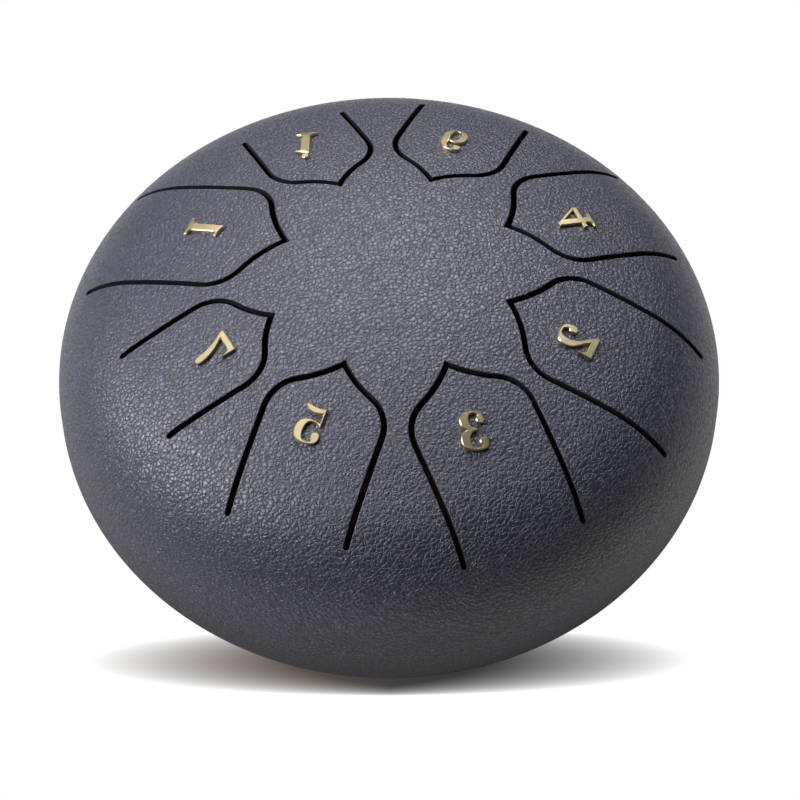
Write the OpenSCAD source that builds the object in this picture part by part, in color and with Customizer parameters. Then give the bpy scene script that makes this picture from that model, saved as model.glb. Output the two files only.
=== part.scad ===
// Steel tongue drum for a table: two pressed steel domes welded at their seam, eight tongues cut in
// the upper dome, a raised number on each tongue, and three rubber feet screwed to the lower dome.
// The origin lies on the surface that the drum stands on, below its centre. +Z is up.
// The tongue numbered 1 is the longest. Seen from above, the tongues follow each other anticlockwise
// in the order 1, 7, 5, 3, 2, 4, 6, high 1, so that neighbours differ in pitch.

/* [Body] */
// Outside diameter of the drum at its seam
drum_diameter = 155; // [150:1:180]
// Height of one dome, from the seam to its pole
dome_height = 41.5; // [39:0.5:48]
// Outside radius of the shoulder between the crown and the seam
shoulder_radius = 30; // [26:0.5:32]
// Height of the upright band that each dome has at the seam
seam_band_height = 2; // [1.2:0.1:4]
// Thickness of the steel sheet
sheet_thickness = 1.5; // [1.2:0.1:2]
// Depth of the weld that joins the domes at the seam
weld_depth = 0.8; // [0.4:0.1:1]
// Diameter of the sound port in the bottom
sound_port_diameter = 36; // [20:1:50]

/* [Tongues] */
// Angle of the tongue numbered 1, anticlockwise from the right
first_tongue_angle = 160; // [150:1:170]
// Radius of the circle that the tongue tips reach
tip_circle_radius = 28.5; // [27:0.5:30]
// Distance from the root of the longest tongue to the outside of the drum, seen from above
root_margin = 9.2; // [8.7:0.1:12.7]
// Width of the widest tongue, between the middles of its slits
widest_tongue_width = 31; // [28:0.5:33]
// Width of the slit round each tongue
slit_width = 1.3; // [0.8:0.1:1.6]
// Radius of the two rounded corners of a tongue's head
head_corner_radius = 8.5; // [6:0.5:9]
// Angle of the tip's edges from straight across
tip_edge_angle = 47; // [42:1:52]
// Angle at which the tip's edges run into the corners, from straight across
corner_edge_angle = 23.5; // [18:0.5:28]
// Clearance at the root, where a tongue turns as it sounds
root_clearance = 0.06; // [0.05:0.01:0.1]

/* [Numbers] */
// Height of a number
number_height = 9.2; // [7:0.1:10]
// How far a number stands above the steel
number_relief = 0.8; // [0.5:0.1:1.2]
// Distance of the middle of each number from the drum's axis
number_circle_radius = 46; // [43:0.5:48]
// Diameter of the dot over the high 1
high_dot_diameter = 1.9; // [1:0.1:2]
// Numbers mirrored, as on the photographed drum
mirrored_numbers = true; // [true, false]

/* [Feet] */
// Clearance between the lowest point of the lower dome and the ground
ground_clearance = 5; // [4:0.5:8]
// Distance of each foot from the drum's axis, on the dome
foot_circle_radius = 40; // [36:0.5:46]
// Diameter of a foot where it meets the dome
foot_top_diameter = 17; // [15:0.5:20]
// Diameter of a foot at the ground
foot_bottom_diameter = 14; // [13:0.5:15]
// Thickness of the rubber under the screw's washer
foot_web_thickness = 4; // [3:0.5:4.5]
// Diameter of the recess that holds the screw's head
foot_recess_diameter = 9.6; // [9.3:0.1:10.5]
// Diameter of the screws
screw_diameter = 4; // [3:0.5:4]
// Length of the screws under their heads
screw_length = 10; // [10:0.5:12]
// Diameter of the screws' heads
screw_head_diameter = 7.6; // [6:0.1:8]
// Height of the screws' heads
screw_head_height = 2.6; // [2:0.1:3]
// Diameter of the washers under the heads
washer_diameter = 9; // [8:0.1:9.2]
// Thickness of the washers
washer_thickness = 0.8; // [0.5:0.1:1]
// Width of the nuts across their flats
nut_width = 7; // [6:0.1:8]
// Height of the nuts
nut_height = 3.2; // [2.4:0.1:3.4]

/* [Hidden] */
$fn = 72;

// One overrun serves every cut
overrun = 1;
// Clearance round a screw in the holes of the foot, the dome and the washer
screw_hole_clearance = 0.2;
// Clearance between the thread of a screw and its nut
thread_clearance = 0.05;

coat = "#4a4c5e";
gold = "#c8b583";
rubber = "#1d1d1f";
zinc = "#b9bcc0";

// The section of a dome: a crown arc about a point on the axis, and a shoulder arc that touches it
// and the upright band at the seam
drum_radius = drum_diameter / 2;
shoulder_centre = [drum_radius - shoulder_radius, seam_band_height];
crown_rise = dome_height - seam_band_height;
crown_radius = (pow(shoulder_centre.x, 2) + pow(crown_rise, 2) - pow(shoulder_radius, 2))
    / (2 * (crown_rise - shoulder_radius));
crown_centre_height = dome_height - crown_radius;
shoulder_direction = (shoulder_centre - [0, crown_centre_height]) / (crown_radius - shoulder_radius);
// Facets round a whole circle in the preview, about as long on the wide crown as round the drum
shoulder_facets = $fn * 2 / 3;
crown_facets = round($fn * crown_radius / drum_radius / 2) * 2;
// Facets round the screws, the washers and the holes of the nuts in the preview
fitting_facets = $fn / 3;
seam_height = ground_clearance + dome_height;
upper_centre_height = seam_height + crown_centre_height;
lower_centre_height = seam_height - crown_centre_height;

// Tongues, in the order in which they stand: 1, 7, 5, 3, 2, 4, 6, high 1
tongue_count = 8;
longest_tongue_place = 0;
tongue_length_shares = [1, 0.725, 0.845, 0.9, 0.955, 0.855, 0.725, 0.655];
tongue_width_shares = [1, 0.82, 0.885, 0.93, 0.96, 0.92, 0.85, 0.815];
tip_radius_shares = [0.87, 1.03, 1.02, 1.06, 1.01, 1.06, 1.02, 0.99];
// How far each tongue stands on from its even place, anticlockwise, as a share of the pitch: the widest
// tongue keeps its neighbours away
tongue_turn_shares = [0.015, 0.045, 0.005, -0.005, 0.005, 0.02, 0, -0.035];
// The numbers are glued on by hand. How far each sits from the drum's axis, as a share of their circle's
// radius, how far it sits to the clockwise side of its tongue's middle, as a share of its height, and
// how far it is turned anticlockwise in its place.
number_reach_shares = [0.975, 0.965, 0.975, 1.015, 0.99, 1.01, 0.995, 1.015];
number_side_shares = [0.165, -0.08, 0.23, 0.15, 0.27, 0.17, -0.01, -0.03];
number_turns = [0, 0, 0, -14, 0, 0, 0, -24];
arc_steps = 8;

// Outlines of the numbers. Each point is a share of the number's height, from its lower left corner.
// A third value marks a point that the outline doesn't pass but is drawn towards, between the point
// before it and the point after it.
curve_steps = 4;
one_outline_shares = [
    [0, 0], [0.58, 0], [0.58, 0.07], [0.42, 0.09, 1], [0.39, 0.18], [0.39, 1], [0.31, 1],
    [0.2, 0.92, 1], [0.01, 0.91], [0.01, 0.85], [0.15, 0.84, 1], [0.15, 0.78], [0.15, 0.18],
    [0.14, 0.09, 1], [0, 0.07]
];
two_outline_shares = [
    [0.02, 0], [0.68, 0], [0.68, 0.36], [0.64, 0.36], [0.61, 0.18, 1], [0.5, 0.17], [0.27, 0.17],
    [0.34, 0.27, 1], [0.51, 0.42], [0.67, 0.56, 1], [0.67, 0.74], [0.67, 1, 1], [0.34, 1],
    [0.02, 1, 1], [0.02, 0.72], [0.02, 0.58, 1], [0.13, 0.58], [0.24, 0.58, 1], [0.24, 0.68],
    [0.24, 0.77, 1], [0.18, 0.8], [0.17, 0.93, 1], [0.31, 0.93], [0.45, 0.93, 1], [0.45, 0.73],
    [0.45, 0.54, 1], [0.29, 0.37], [0.13, 0.22, 1], [0.02, 0.07]
];
three_outline_shares = [
    [0.5, 0.53], [0.64, 0.6, 1], [0.64, 0.76], [0.64, 1, 1], [0.34, 1], [0.04, 1, 1], [0.04, 0.78],
    [0.04, 0.67, 1], [0.14, 0.67], [0.24, 0.67, 1], [0.24, 0.77], [0.24, 0.84, 1], [0.19, 0.87],
    [0.21, 0.94, 1], [0.3, 0.94], [0.42, 0.94, 1], [0.42, 0.75], [0.42, 0.57, 1], [0.24, 0.56],
    [0.24, 0.5], [0.44, 0.5, 1], [0.44, 0.27], [0.44, 0.06, 1], [0.29, 0.06], [0.19, 0.06, 1],
    [0.17, 0.12], [0.23, 0.16, 1], [0.23, 0.22], [0.23, 0.32, 1], [0.12, 0.32], [0, 0.32, 1],
    [0, 0.2], [0, 0, 1], [0.31, 0], [0.67, 0, 1], [0.67, 0.28], [0.67, 0.46, 1]
];
four_outline_shares = [
    [0.24, 0], [0.72, 0], [0.72, 0.06], [0.6, 0.07, 1], [0.58, 0.14], [0.58, 0.24], [0.73, 0.24],
    [0.73, 0.37], [0.58, 0.37], [0.58, 1], [0.46, 1], [0, 0.37], [0, 0.24], [0.38, 0.24],
    [0.38, 0.14], [0.36, 0.07, 1], [0.24, 0.06]
];
four_counter_shares = [[0.38, 0.37], [0.38, 0.76], [0.1, 0.37]];
five_outline_shares = [
    [0.07, 0.98], [0.3, 0.91, 1], [0.54, 1], [0.61, 1], [0.57, 0.8, 1], [0.34, 0.8],
    [0.2, 0.8, 1], [0.13, 0.83], [0.13, 0.57], [0.2, 0.63, 1], [0.34, 0.63], [0.67, 0.63, 1],
    [0.67, 0.32], [0.67, 0, 1], [0.32, 0], [0, 0, 1], [0, 0.22], [0, 0.35, 1], [0.12, 0.35],
    [0.23, 0.35, 1], [0.23, 0.24], [0.23, 0.16, 1], [0.17, 0.12], [0.2, 0.06, 1], [0.3, 0.06],
    [0.45, 0.06, 1], [0.45, 0.32], [0.45, 0.57, 1], [0.29, 0.57], [0.16, 0.57, 1], [0.11, 0.48],
    [0.07, 0.48]
];
six_outline_shares = [
    [0.6, 0.83], [0.6, 1, 1], [0.36, 1], [0, 1, 1], [0, 0.45], [0, 0, 1], [0.31, 0], [0.63, 0, 1],
    [0.63, 0.31], [0.63, 0.62, 1], [0.37, 0.62], [0.24, 0.62, 1], [0.19, 0.55], [0.19, 0.94, 1],
    [0.36, 0.94], [0.4, 0.94, 1], [0.42, 0.9], [0.38, 0.87, 1], [0.38, 0.82], [0.38, 0.73, 1],
    [0.49, 0.73], [0.6, 0.73, 1]
];
six_counter_shares = [
    [0.31, 0.55], [0.19, 0.55, 1], [0.19, 0.31], [0.19, 0.06, 1], [0.31, 0.06], [0.43, 0.06, 1],
    [0.43, 0.31], [0.43, 0.55, 1]
];
seven_outline_shares = [
    [0, 1], [0.68, 1], [0.68, 0.9], [0.42, 0.55, 1], [0.39, 0.1], [0.38, 0, 1], [0.29, 0],
    [0.19, 0, 1], [0.19, 0.1], [0.19, 0.45, 1], [0.5, 0.83], [0.17, 0.83], [0.06, 0.82, 1],
    [0.04, 0.62], [0, 0.62]
];
number_width_share = 0.67;
// Middle of the dot over the high 1, from the lower left corner of the number
high_dot_shares = [0.29, 1.12];

// Feet, screws and nuts
foot_tilt = asin(foot_circle_radius / crown_radius);
foot_front_angle = -90;
foot_pitch = 120;
foot_angles = [foot_front_angle, foot_front_angle - foot_pitch, foot_front_angle + foot_pitch];
foot_axis_length = lower_centre_height / cos(foot_tilt);
foot_length = foot_axis_length - crown_radius;
foot_taper = (foot_top_diameter - foot_bottom_diameter) / foot_length;
// How far a foot's axis runs past the ground, so that the ground cuts the whole foot
foot_overreach = foot_top_diameter * tan(foot_tilt);
washer_seat = crown_radius + foot_web_thickness;
head_seat = washer_seat + washer_thickness;
nut_corner_radius = nut_width / 2 / cos(30);
nut_seat = sqrt(pow(crown_radius - sheet_thickness, 2) - pow(nut_corner_radius, 2));
head_dome_radius = screw_head_diameter;
cross_length = screw_head_diameter / 2;
cross_width = screw_head_diameter / 8;
cross_depth = screw_head_height / 2;

// Points on an arc about a centre, from one angle to another, the first of them left out at will
function arc_points(centre, radius, from, to, first = 0) = [
    for (i = [first : arc_steps])
        let (angle = from + (to - from) * i / arc_steps)
        centre + radius * [cos(angle), sin(angle)]
];

// A point of a curve drawn from one point to another towards a third
function curve_point(from, towards, to, t) =
    from * pow(1 - t, 2) + towards * 2 * t * (1 - t) + to * pow(t, 2);

function flat(point) = [point.x, point.y];

// The outline of a number at its real size
function number_points(shares) = [
    for (i = [0 : len(shares) - 1])
        let (
            point = shares[i],
            before = shares[(i + len(shares) - 1) % len(shares)],
            after = shares[(i + 1) % len(shares)]
        )
        if (len(point) == 3)
            each [
                for (k = [1 : curve_steps - 1])
                    number_height * curve_point(flat(before), flat(point), flat(after), k / curve_steps)
            ]
        else
            number_height * point
];

// Sizes of the tongue at a place in the row
function tongue_angle(place) =
    first_tongue_angle + (place + tongue_turn_shares[place]) * 360 / tongue_count;
function tip_radius(place) = tip_circle_radius * tip_radius_shares[place];
function tongue_length(place) =
    (drum_radius - root_margin - tip_radius(longest_tongue_place)) * tongue_length_shares[place];
function root_radius(place) = tip_radius(place) + tongue_length(place);
function half_width(place) = widest_tongue_width * tongue_width_shares[place] / 2;
function tip_edge_radius(place) =
    (half_width(place) - head_corner_radius * (1 - sin(corner_edge_angle)))
    / (sin(tip_edge_angle) - sin(corner_edge_angle));

// One side of a tongue's outline from its tip to its root, grown outwards all round. X runs along
// the tongue away from the drum's axis. The tip's edge is hollow and the corner is round.
function side_points(place, growth, root) =
    let (
        edge_radius = tip_edge_radius(place),
        edge_centre = [
            tip_radius(place) - edge_radius * cos(tip_edge_angle),
            edge_radius * sin(tip_edge_angle)
        ],
        corner_centre = [
            edge_centre.x + (edge_radius + head_corner_radius) * cos(corner_edge_angle),
            half_width(place) - head_corner_radius
        ],
        tip_angle = asin(edge_centre.y / (edge_radius - growth))
    )
    concat(
        arc_points(edge_centre, edge_radius - growth, -tip_angle, -corner_edge_angle),
        arc_points(corner_centre, head_corner_radius + growth, 180 - corner_edge_angle, 90, 1),
        [[root, half_width(place) + growth]]
    );

module tongue_area(place, growth, root) {
    side = side_points(place, growth, root);
    polygon(concat(side, [for (i = [len(side) - 1 : -1 : 1]) [side[i].x, -side[i].y]]));
}

// What is cut from the dome for a tongue: the tongue with its slit, which ends round
module tongue_cut_area(place) {
    tongue_area(place, slit_width / 2, root_radius(place) + root_clearance);
    for (side = [-1, 1])
        translate([root_radius(place), side * half_width(place)])
            circle(d = slit_width);
}

// Turns a flat area at a tongue's place into an upright block through the upper dome
module through_upper_dome(place) {
    translate([0, 0, seam_height])
        rotate([0, 0, tongue_angle(place)])
            linear_extrude(height = dome_height + overrun)
                children();
}

// Half the section of the solid that a dome encloses, set in by a distance and run down past the seam.
// The crown's circle is cut back to the shoulder's circle from where the two touch.
module dome_section(inset, below) {
    past_touch = shoulder_centre + shoulder_direction * (shoulder_radius + overrun);
    intersection() {
        translate([0, crown_centre_height])
            circle(r = crown_radius - inset, $fn = crown_facets);
        translate([0, -below])
            square([drum_radius + overrun, dome_height + below + overrun]);
        union() {
            translate(shoulder_centre)
                circle(r = shoulder_radius - inset, $fn = shoulder_facets);
            polygon([
                [-overrun, -below - overrun],
                [drum_radius - inset, -below - overrun],
                [drum_radius - inset, seam_band_height],
                shoulder_centre,
                past_touch,
                [past_touch.x, dome_height + 2 * overrun],
                [-overrun, dome_height + 2 * overrun]
            ]);
        }
    }
}

module weld_section() {
    polygon([
        [drum_radius - weld_depth, 0],
        [drum_radius, -weld_depth],
        [drum_radius, weld_depth]
    ]);
}

// A dome with its seam at height zero and its edge chamfered for the weld
module bare_dome() {
    rotate_extrude()
        difference() {
            dome_section(0, 0);
            dome_section(sheet_thickness, overrun);
            weld_section();
        }
}

module placed_upper_dome() {
    translate([0, 0, seam_height])
        bare_dome();
}

module upper_dome() {
    color(coat)
        difference() {
            placed_upper_dome();
            for (place = [0 : tongue_count - 1])
                through_upper_dome(place)
                    tongue_cut_area(place);
        }
}

// Puts a thing on the outside of the lower dome at a foot, with its own Z leaving the dome
module at_foot(angle) {
    translate([0, 0, lower_centre_height])
        rotate([0, 180 - foot_tilt, angle])
            children();
}

module lower_dome() {
    color(coat)
        difference() {
            translate([0, 0, seam_height])
                mirror([0, 0, 1])
                    bare_dome();
            cylinder(d = sound_port_diameter, h = seam_height);
            for (angle = foot_angles)
                at_foot(angle)
                    translate([0, 0, nut_seat - nut_height])
                        cylinder(
                            d = screw_diameter + 2 * screw_hole_clearance,
                            h = nut_height + sheet_thickness + overrun
                        );
        }
}

module seam_weld() {
    color(coat)
        translate([0, 0, seam_height])
            rotate_extrude()
                weld_section();
}

module tongue(place) {
    color(coat)
        intersection() {
            placed_upper_dome();
            through_upper_dome(place)
                tongue_area(place, -slit_width / 2, root_radius(place));
        }
}

// A number on the crown at a tongue, cut off at its relief and hollowed to the crown
module raised_number(place) {
    reach = number_circle_radius * number_reach_shares[place];
    tilt = asin(reach / crown_radius);
    swing = tongue_angle(place) - asin(number_side_shares[place] * number_height / reach);
    color(gold)
        translate([0, 0, upper_centre_height])
            difference() {
                intersection() {
                    rotate([0, tilt, swing])
                        rotate([0, 0, 90 + number_turns[place]])
                            mirror([mirrored_numbers ? 1 : 0, 0, 0])
                                translate([-number_width_share * number_height / 2, -number_height / 2, 0])
                                    linear_extrude(height = crown_radius + number_relief + overrun)
                                        children();
                    sphere(r = crown_radius + number_relief, $fn = crown_facets);
                }
                sphere(r = crown_radius, $fn = crown_facets);
            }
}

module outline(shares) {
    polygon(number_points(shares));
}

module foot(angle) {
    color(rubber)
        rotate([0, 0, angle])
            intersection() {
                at_foot(0)
                    difference() {
                        translate([0, 0, crown_radius - overrun])
                            cylinder(
                                d1 = foot_top_diameter + overrun * foot_taper,
                                d2 = foot_bottom_diameter - foot_overreach * foot_taper,
                                h = overrun + foot_length + foot_overreach
                            );
                        sphere(r = crown_radius, $fn = crown_facets);
                        translate([0, 0, crown_radius - overrun])
                            cylinder(
                                d = screw_diameter + 2 * screw_hole_clearance,
                                h = foot_web_thickness + 2 * overrun
                            );
                        translate([0, 0, washer_seat])
                            cylinder(
                                d = foot_recess_diameter,
                                h = foot_axis_length
                            );
                    }
                translate([0, -drum_radius, 0])
                    cube([drum_radius, drum_diameter, seam_height]);
            }
}

module washer() {
    $fn = fitting_facets;
    translate([0, 0, washer_seat])
        difference() {
            cylinder(d = washer_diameter, h = washer_thickness);
            translate([0, 0, -overrun])
                cylinder(d = screw_diameter + 2 * screw_hole_clearance, h = washer_thickness + 2 * overrun);
        }
}

module screw() {
    $fn = fitting_facets;
    translate([0, 0, head_seat - screw_length])
        cylinder(d = screw_diameter, h = screw_length);
    translate([0, 0, head_seat])
        difference() {
            intersection() {
                cylinder(d = screw_head_diameter, h = screw_head_height);
                translate([0, 0, screw_head_height - head_dome_radius])
                    sphere(r = head_dome_radius);
            }
            for (turn = [0, 90])
                rotate([0, 0, turn])
                    translate([-cross_length / 2, -cross_width / 2, screw_head_height - cross_depth])
                        cube([cross_length, cross_width, cross_depth + overrun]);
        }
}

module nut() {
    $fn = fitting_facets;
    translate([0, 0, nut_seat - nut_height])
        difference() {
            cylinder(r = nut_corner_radius, h = nut_height, $fn = 6);
            translate([0, 0, -overrun])
                cylinder(d = screw_diameter + 2 * thread_clearance, h = nut_height + 2 * overrun);
        }
}

module tongue_1() { tongue(0); }
module tongue_7() { tongue(1); }
module tongue_5() { tongue(2); }
module tongue_3() { tongue(3); }
module tongue_2() { tongue(4); }
module tongue_4() { tongue(5); }
module tongue_6() { tongue(6); }
module tongue_high_1() { tongue(7); }

module number_1() { raised_number(0) outline(one_outline_shares); }
module number_7() { raised_number(1) outline(seven_outline_shares); }
module number_5() { raised_number(2) outline(five_outline_shares); }
module number_3() { raised_number(3) outline(three_outline_shares); }
module number_2() { raised_number(4) outline(two_outline_shares); }

module number_4() {
    raised_number(5)
        difference() {
            outline(four_outline_shares);
            outline(four_counter_shares);
        }
}

module number_6() {
    raised_number(6)
        difference() {
            outline(six_outline_shares);
            outline(six_counter_shares);
        }
}

module number_high_1() {
    raised_number(7) {
        outline(one_outline_shares);
        translate(high_dot_shares * number_height)
            circle(d = high_dot_diameter);
    }
}

module foot_front() { foot(foot_angles[0]); }
module foot_left() { foot(foot_angles[1]); }
module foot_right() { foot(foot_angles[2]); }

module foot_washers() {
    color(zinc)
        for (angle = foot_angles)
            at_foot(angle)
                washer();
}

module foot_screws() {
    color(zinc)
        for (angle = foot_angles)
            at_foot(angle)
                screw();
}

module foot_nuts() {
    color(zinc)
        for (angle = foot_angles)
            at_foot(angle)
                nut();
}

upper_dome();
lower_dome();
seam_weld();
tongue_1();
tongue_2();
tongue_3();
tongue_4();
tongue_5();
tongue_6();
tongue_7();
tongue_high_1();
number_1();
number_2();
number_3();
number_4();
number_5();
number_6();
number_7();
number_high_1();
foot_front();
foot_left();
foot_right();
foot_washers();
foot_screws();
foot_nuts();
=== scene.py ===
"""Looks of the steel tongue drum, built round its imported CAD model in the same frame, in metres.

The upper dome and its eight tongues are one skin, drawn flat as the outlines of the slits, cut into
a fine grid, and lifted onto the pressed section. Each tongue is then a piece of its own, split off
at its root. Lengths inside the modelling code are in millimetres and are scaled once, at the end.
"""

import math

import bmesh
import bpy
from bpy.props import BoolProperty, FloatProperty, PointerProperty, StringProperty
from mathutils import Matrix, Vector


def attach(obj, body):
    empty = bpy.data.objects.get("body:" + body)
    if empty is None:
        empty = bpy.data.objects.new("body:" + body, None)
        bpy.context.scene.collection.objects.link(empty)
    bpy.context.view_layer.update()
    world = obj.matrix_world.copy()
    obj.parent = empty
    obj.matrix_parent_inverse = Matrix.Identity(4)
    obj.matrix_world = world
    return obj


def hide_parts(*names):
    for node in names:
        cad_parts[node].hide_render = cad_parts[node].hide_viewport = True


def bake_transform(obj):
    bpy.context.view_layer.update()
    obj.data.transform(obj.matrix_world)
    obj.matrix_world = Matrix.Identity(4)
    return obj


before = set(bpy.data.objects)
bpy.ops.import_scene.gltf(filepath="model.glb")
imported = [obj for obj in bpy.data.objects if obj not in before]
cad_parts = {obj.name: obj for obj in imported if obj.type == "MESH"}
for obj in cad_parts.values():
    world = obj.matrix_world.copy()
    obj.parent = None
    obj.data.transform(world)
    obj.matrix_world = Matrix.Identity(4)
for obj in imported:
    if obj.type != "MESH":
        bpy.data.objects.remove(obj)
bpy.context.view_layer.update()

bl_info = {
    "name": "Steel tongue drum",
    "version": (1, 0, 0),
    "blender": (4, 5, 0),
    "location": "View3D > Sidebar > Tongue drum",
    "description": "Dresses a packed steel tongue drum and sets a plain studio round it",
    "category": "Object",
}

MM = 0.001
NOTES = ["1", "7", "5", "3", "2", "4", "6", "high_1"]

# Shares of the longest or widest tongue, in the order in which the tongues stand round the drum
LENGTH_SHARES = [1, 0.725, 0.845, 0.9, 0.955, 0.855, 0.725, 0.655]
WIDTH_SHARES = [1, 0.82, 0.885, 0.93, 0.96, 0.92, 0.85, 0.815]
TIP_RADIUS_SHARES = [0.87, 1.03, 1.02, 1.06, 1.01, 1.06, 1.02, 0.99]
TURN_SHARES = [0.015, 0.045, 0.005, -0.005, 0.005, 0.02, 0, -0.035]
# How far out and how far aside each number sits, and how far it is turned, as glued on by hand
NUMBER_REACH_SHARES = [0.975, 0.965, 0.975, 1.015, 0.99, 1.01, 0.995, 1.015]
NUMBER_SIDE_SHARES = [0.165, -0.08, 0.23, 0.15, 0.27, 0.17, -0.01, -0.03]
NUMBER_TURNS = [0, 0, 0, -14, 0, 0, 0, -24]

# Outlines of the numbers, in shares of their height. A third value marks a point that the outline
# is drawn towards without passing it.
ONE = [
    [0, 0], [0.58, 0], [0.58, 0.07], [0.42, 0.09, 1], [0.39, 0.18], [0.39, 1], [0.31, 1],
    [0.2, 0.92, 1], [0.01, 0.91], [0.01, 0.85], [0.15, 0.84, 1], [0.15, 0.78], [0.15, 0.18],
    [0.14, 0.09, 1], [0, 0.07],
]
TWO = [
    [0.02, 0], [0.68, 0], [0.68, 0.36], [0.64, 0.36], [0.61, 0.18, 1], [0.5, 0.17], [0.27, 0.17],
    [0.34, 0.27, 1], [0.51, 0.42], [0.67, 0.56, 1], [0.67, 0.74], [0.67, 1, 1], [0.34, 1],
    [0.02, 1, 1], [0.02, 0.72], [0.02, 0.58, 1], [0.13, 0.58], [0.24, 0.58, 1], [0.24, 0.68],
    [0.24, 0.77, 1], [0.18, 0.8], [0.17, 0.93, 1], [0.31, 0.93], [0.45, 0.93, 1], [0.45, 0.73],
    [0.45, 0.54, 1], [0.29, 0.37], [0.13, 0.22, 1], [0.02, 0.07],
]
THREE = [
    [0.5, 0.53], [0.64, 0.6, 1], [0.64, 0.76], [0.64, 1, 1], [0.34, 1], [0.04, 1, 1], [0.04, 0.78],
    [0.04, 0.67, 1], [0.14, 0.67], [0.24, 0.67, 1], [0.24, 0.77], [0.24, 0.84, 1], [0.19, 0.87],
    [0.21, 0.94, 1], [0.3, 0.94], [0.42, 0.94, 1], [0.42, 0.75], [0.42, 0.57, 1], [0.24, 0.56],
    [0.24, 0.5], [0.44, 0.5, 1], [0.44, 0.27], [0.44, 0.06, 1], [0.29, 0.06], [0.19, 0.06, 1],
    [0.17, 0.12], [0.23, 0.16, 1], [0.23, 0.22], [0.23, 0.32, 1], [0.12, 0.32], [0, 0.32, 1],
    [0, 0.2], [0, 0, 1], [0.31, 0], [0.67, 0, 1], [0.67, 0.28], [0.67, 0.46, 1],
]
FOUR = [
    [0.24, 0], [0.72, 0], [0.72, 0.06], [0.6, 0.07, 1], [0.58, 0.14], [0.58, 0.24], [0.73, 0.24],
    [0.73, 0.37], [0.58, 0.37], [0.58, 1], [0.46, 1], [0, 0.37], [0, 0.24], [0.38, 0.24],
    [0.38, 0.14], [0.36, 0.07, 1], [0.24, 0.06],
]
FOUR_COUNTER = [[0.38, 0.37], [0.38, 0.76], [0.1, 0.37]]
FIVE = [
    [0.07, 0.98], [0.3, 0.91, 1], [0.54, 1], [0.61, 1], [0.57, 0.8, 1], [0.34, 0.8],
    [0.2, 0.8, 1], [0.13, 0.83], [0.13, 0.57], [0.2, 0.63, 1], [0.34, 0.63], [0.67, 0.63, 1],
    [0.67, 0.32], [0.67, 0, 1], [0.32, 0], [0, 0, 1], [0, 0.22], [0, 0.35, 1], [0.12, 0.35],
    [0.23, 0.35, 1], [0.23, 0.24], [0.23, 0.16, 1], [0.17, 0.12], [0.2, 0.06, 1], [0.3, 0.06],
    [0.45, 0.06, 1], [0.45, 0.32], [0.45, 0.57, 1], [0.29, 0.57], [0.16, 0.57, 1], [0.11, 0.48],
    [0.07, 0.48],
]
SIX = [
    [0.6, 0.83], [0.6, 1, 1], [0.36, 1], [0, 1, 1], [0, 0.45], [0, 0, 1], [0.31, 0], [0.63, 0, 1],
    [0.63, 0.31], [0.63, 0.62, 1], [0.37, 0.62], [0.24, 0.62, 1], [0.19, 0.55], [0.19, 0.94, 1],
    [0.36, 0.94], [0.4, 0.94, 1], [0.42, 0.9], [0.38, 0.87, 1], [0.38, 0.82], [0.38, 0.73, 1],
    [0.49, 0.73], [0.6, 0.73, 1],
]
SIX_COUNTER = [
    [0.31, 0.55], [0.19, 0.55, 1], [0.19, 0.31], [0.19, 0.06, 1], [0.31, 0.06], [0.43, 0.06, 1],
    [0.43, 0.31], [0.43, 0.55, 1],
]
SEVEN = [
    [0, 1], [0.68, 1], [0.68, 0.9], [0.42, 0.55, 1], [0.39, 0.1], [0.38, 0, 1], [0.29, 0],
    [0.19, 0, 1], [0.19, 0.1], [0.19, 0.45, 1], [0.5, 0.83], [0.17, 0.83], [0.06, 0.82, 1],
    [0.04, 0.62], [0, 0.62],
]
NUMBER_OUTLINES = [
    [ONE], [SEVEN], [FIVE], [THREE], [TWO], [FOUR, FOUR_COUNTER], [SIX, SIX_COUNTER], [ONE],
]
NUMBER_WIDTH_SHARE = 0.67
HIGH_DOT_SHARES = [0.29, 1.12]


def length(name, description, default):
    """A length, with its default in metres."""
    return FloatProperty(name=name, description=description, default=default, unit="LENGTH")


def angle(name, description, degrees):
    """An angle, with its default in degrees."""
    return FloatProperty(
        name=name, description=description, default=math.radians(degrees), unit="ROTATION"
    )


def hex_colour(name, description, default):
    """A colour, with its default as an sRGB hex value."""
    return StringProperty(name=name, description=description, default=default)


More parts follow.
